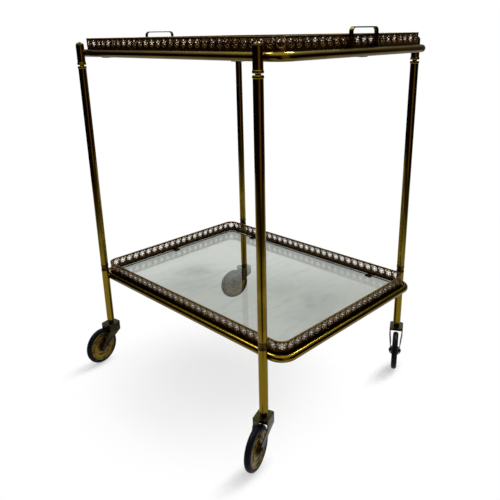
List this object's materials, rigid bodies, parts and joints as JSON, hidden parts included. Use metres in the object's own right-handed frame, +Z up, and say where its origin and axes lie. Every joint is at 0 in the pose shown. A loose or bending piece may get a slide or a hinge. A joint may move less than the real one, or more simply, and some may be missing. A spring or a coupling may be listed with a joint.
{
  "type": "bar cart",
  "caption": "Brass bar cart: glass tiers inside pierced galleries on tube rails and round legs, a lift-off top tray with strap handles, and swivel casters.",
  "frame": {"origin": "on the floor, straight below the common centre of the two tiers", "axes": "+X to the right along the long side, +Y to the back, +Z up"},
  "size_m": [0.5748, 0.5287, 0.728],
  "materials": {
    "rail_brass": "aged, polished",
    "leg_brass": "aged, dark patina in streaks",
    "lower_leg_brass": "aged, golden",
    "collar_metal": "dark patina",
    "gallery_brass": "dark brown patina",
    "rim_brass": "aged",
    "handle_brass": "dark patina",
    "tab_metal": "dark patina",
    "dark_steel": "darkened",
    "caster_metal": "dull olive-brown plating",
    "wheel_brass": "dull golden",
    "tyre": "smooth black rubber",
    "glass": "clear, faintly grey-green"
  },
  "bodies": {
    "frame": {"lower_rail": "rail_brass", "upper_rail": "rail_brass", "leg_stub_front_left": "lower_leg_brass", "leg_tube_front_left": "leg_brass", "leg_sleeve_front_left": "leg_brass", "caster_stem_front_left": "dark_steel", "leg_stub_front_right": "lower_leg_brass", "leg_tube_front_right": "leg_brass", "leg_sleeve_front_right": "leg_brass", "caster_stem_front_right": "dark_steel", "leg_stub_back_left": "lower_leg_brass", "leg_tube_back_left": "leg_brass", "leg_sleeve_back_left": "leg_brass", "caster_stem_back_left": "dark_steel", "leg_stub_back_right": "lower_leg_brass", "leg_tube_back_right": "leg_brass", "leg_sleeve_back_right": "leg_brass", "caster_stem_back_right": "dark_steel", "leg_collars": "collar_metal", "leg_joiners": "dark_steel", "leg_neck_pins": "dark_steel", "leg_caps": "leg_brass", "lower_gallery_left": "gallery_brass", "lower_gallery_right": "gallery_brass", "lower_gallery_front": "gallery_brass", "lower_gallery_back": "gallery_brass", "lower_gallery_corners": "gallery_brass", "lower_gallery_rim": "rim_brass", "lower_glass_tabs": "tab_metal", "tray_rests": "tab_metal", "lower_glass": "glass"},
    "tray": {"tray_gallery_left": "gallery_brass", "tray_gallery_right": "gallery_brass", "tray_gallery_front": "gallery_brass", "tray_gallery_back": "gallery_brass", "tray_gallery_corners": "gallery_brass", "tray_gallery_rim": "rim_brass", "tray_ledge": "tab_metal", "tray_glass": "glass", "tray_handle_left": "handle_brass", "tray_handle_right": "handle_brass", "tray_handle_rivets": "handle_brass"},
    "caster_front_left": {"caster_fork_front_left": "caster_metal", "caster_axle_front_left": "dark_steel"},
    "wheel_front_left": {"caster_wheel_front_left": "wheel_brass", "caster_tyre_front_left": "tyre"},
    "caster_front_right": {"caster_fork_front_right": "caster_metal", "caster_axle_front_right": "dark_steel"},
    "wheel_front_right": {"caster_wheel_front_right": "wheel_brass", "caster_tyre_front_right": "tyre"},
    "caster_back_left": {"caster_fork_back_left": "caster_metal", "caster_axle_back_left": "dark_steel"},
    "wheel_back_left": {"caster_wheel_back_left": "wheel_brass", "caster_tyre_back_left": "tyre"},
    "caster_back_right": {"caster_fork_back_right": "caster_metal", "caster_axle_back_right": "dark_steel"},
    "wheel_back_right": {"caster_wheel_back_right": "wheel_brass", "caster_tyre_back_right": "tyre"}
  },
  "joints": [
    {"name": "tray_lift", "type": "slide", "parent": "frame", "child": "tray", "axis": [0, 0, 1], "range_m": [0, 0.06]},
    {"name": "swivel_front_left", "type": "hinge", "parent": "frame", "child": "caster_front_left", "pos_m": [-0.248, -0.2177, 0.0855], "axis": [0, 0, 1], "continuous": true},
    {"name": "spin_front_left", "type": "hinge", "parent": "caster_front_left", "child": "wheel_front_left", "pos_m": [-0.2421, -0.25118, 0.041], "axis": [0.9848, 0.1736, 0], "continuous": true},
    {"name": "swivel_front_right", "type": "hinge", "parent": "frame", "child": "caster_front_right", "pos_m": [0.248, -0.2177, 0.0855], "axis": [0, 0, 1], "continuous": true},
    {"name": "spin_front_right", "type": "hinge", "parent": "caster_front_right", "child": "wheel_front_right", "pos_m": [0.25946, -0.24971, 0.041], "axis": [0.9415, 0.3371, 0], "continuous": true},
    {"name": "swivel_back_left", "type": "hinge", "parent": "frame", "child": "caster_back_left", "pos_m": [-0.248, 0.2177, 0.0855], "axis": [0, 0, 1], "continuous": true},
    {"name": "spin_back_left", "type": "hinge", "parent": "caster_back_left", "child": "wheel_back_left", "pos_m": [-0.25651, 0.18478, 0.041], "axis": [0.9681, -0.2504, 0], "continuous": true},
    {"name": "swivel_back_right", "type": "hinge", "parent": "frame", "child": "caster_back_right", "pos_m": [0.248, 0.2177, 0.0855], "axis": [0, 0, 1], "continuous": true},
    {"name": "spin_back_right", "type": "hinge", "parent": "caster_back_right", "child": "wheel_back_right", "pos_m": [0.26448, 0.18796, 0.041], "axis": [0.8746, 0.4848, 0], "continuous": true}
  ]
}
